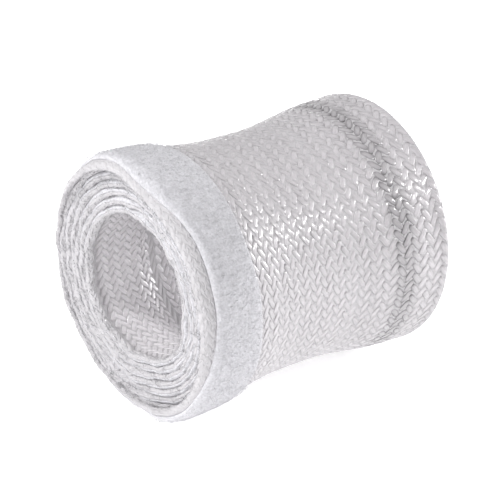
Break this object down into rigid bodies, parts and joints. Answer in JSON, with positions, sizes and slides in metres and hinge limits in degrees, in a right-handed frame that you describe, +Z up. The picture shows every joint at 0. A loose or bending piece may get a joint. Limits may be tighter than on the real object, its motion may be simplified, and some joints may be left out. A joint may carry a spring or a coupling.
{
  "type": "braided cable sleeve",
  "caption": "Flat braided polyester cable sleeve with hook-and-loop edge tapes, wound into an open-centred roll; it wraps round cables and closes along its length.",
  "frame": {"origin": "on the floor, under the middle of the roll as it lies on its side", "axes": "+X along the roll's axis, from the loop tape's end to the hook tape's end; +Z up"},
  "size_m": [0.0893, 0.0806, 0.0806],
  "materials": {
    "braid": "semi-gloss woven yarn",
    "loop_pile": "matt pile",
    "hook_pile": "satin stubble of small hooks"
  },
  "bodies": {
    "root": {"braided_sleeve": "braid", "loop_tape": "loop_pile", "hook_tape": "hook_pile"}
  },
  "joints": []
}
